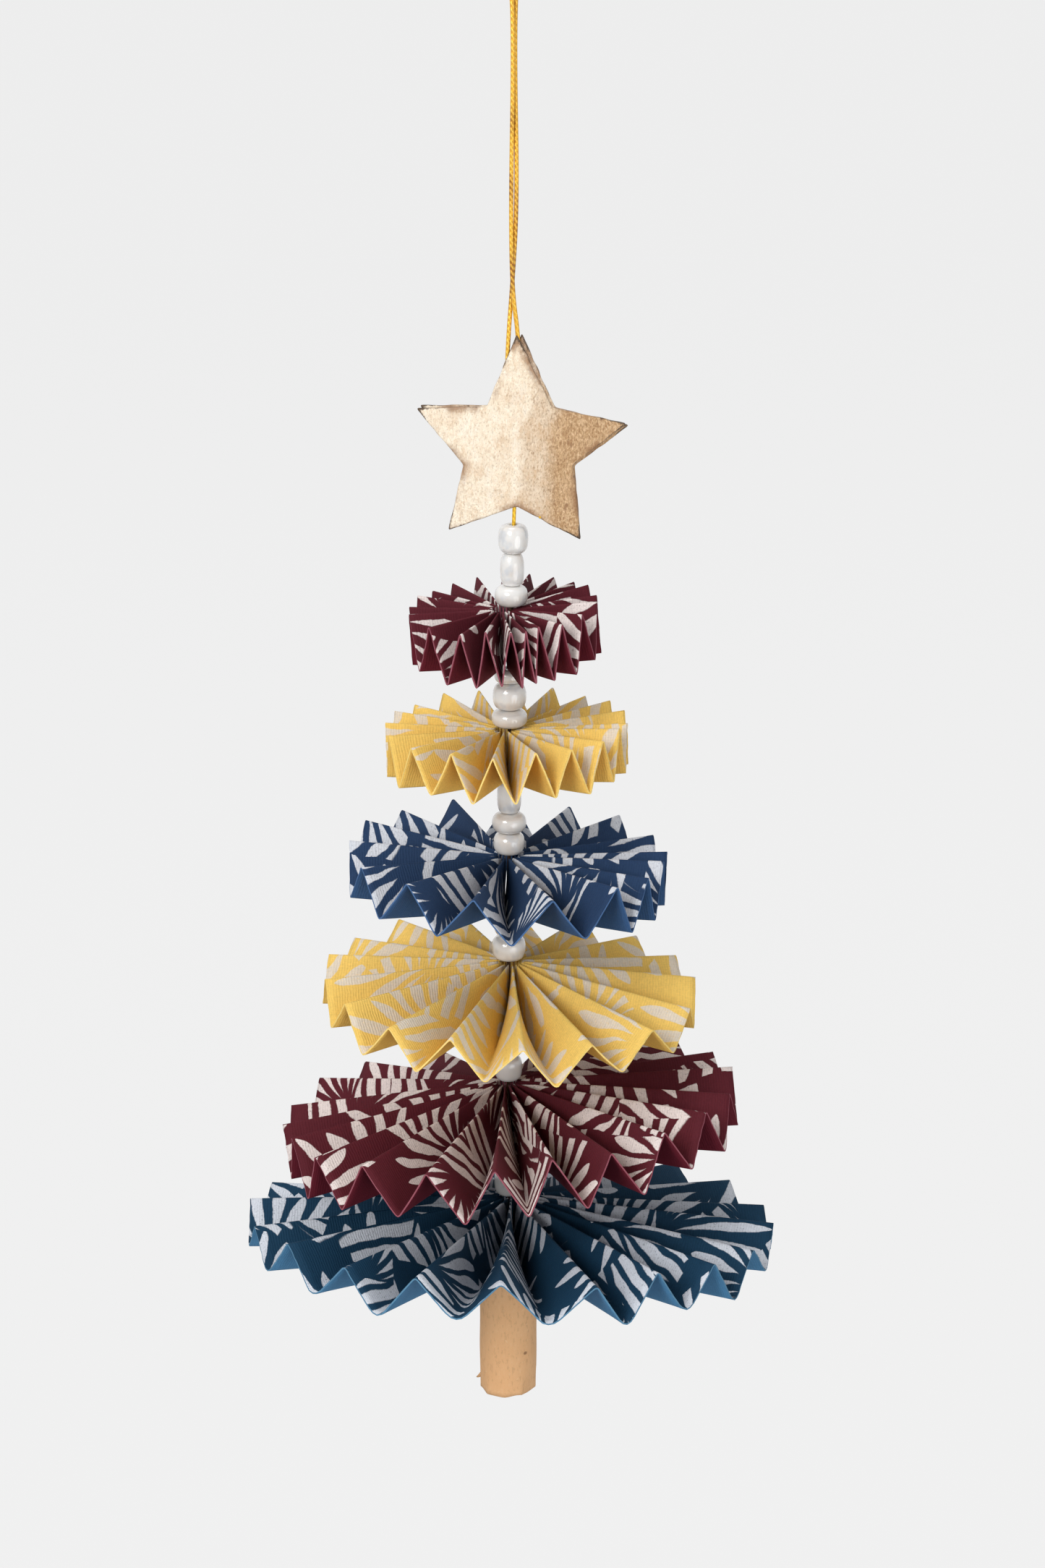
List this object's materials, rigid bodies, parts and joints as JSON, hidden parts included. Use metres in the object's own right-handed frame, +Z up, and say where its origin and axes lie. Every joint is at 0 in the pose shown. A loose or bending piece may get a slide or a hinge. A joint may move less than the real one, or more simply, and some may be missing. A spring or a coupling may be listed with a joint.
{
  "type": "accordion paper tree ornament",
  "caption": "Hanging tree ornament of accordion-folded paper rings strung with pearl glass beads, under a gilded card star and over a rolled kraft paper trunk.",
  "frame": {"origin": "inside of the hanging loop's top, where the loop bears on what it hangs from", "axes": "+Z up, away from the tree along the pull of the loop; the star's face and the front look along -Y"},
  "size_m": [0.0734, 0.0734, 0.2133],
  "materials": {
    "gold_thread": "metallic twisted thread",
    "yellow_thread": "metallic thread",
    "gilded_card": "worn gold leaf",
    "maroon_paper": "matt laid paper with pale block print",
    "yellow_paper": "matt laid paper with pale block print",
    "navy_paper": "matt laid paper with pale block print, lighter back",
    "teal_paper": "matt laid paper with pale block print, light blue back",
    "pearl_glass": "pearl coating",
    "kraft_paper": "matt kraft"
  },
  "bodies": {
    "root": {"hanging_loop": "gold_thread", "star_front": "gilded_card", "star_back": "gilded_card", "stringing_thread": "yellow_thread", "ring_1_maroon": "maroon_paper", "ring_2_yellow": "yellow_paper", "ring_3_navy": "navy_paper", "ring_4_yellow": "yellow_paper", "ring_5_maroon": "maroon_paper", "ring_6_teal": "teal_paper", "bead_01": "pearl_glass", "bead_02": "pearl_glass", "bead_03": "pearl_glass", "bead_04": "pearl_glass", "bead_05": "pearl_glass", "bead_06": "pearl_glass", "bead_07": "pearl_glass", "bead_08": "pearl_glass", "bead_09": "pearl_glass", "bead_10": "pearl_glass", "bead_11": "pearl_glass", "bead_12": "pearl_glass", "bead_13": "pearl_glass", "bead_14": "pearl_glass", "bead_15": "pearl_glass", "bead_16": "pearl_glass", "trunk": "kraft_paper"}
  },
  "joints": []
}
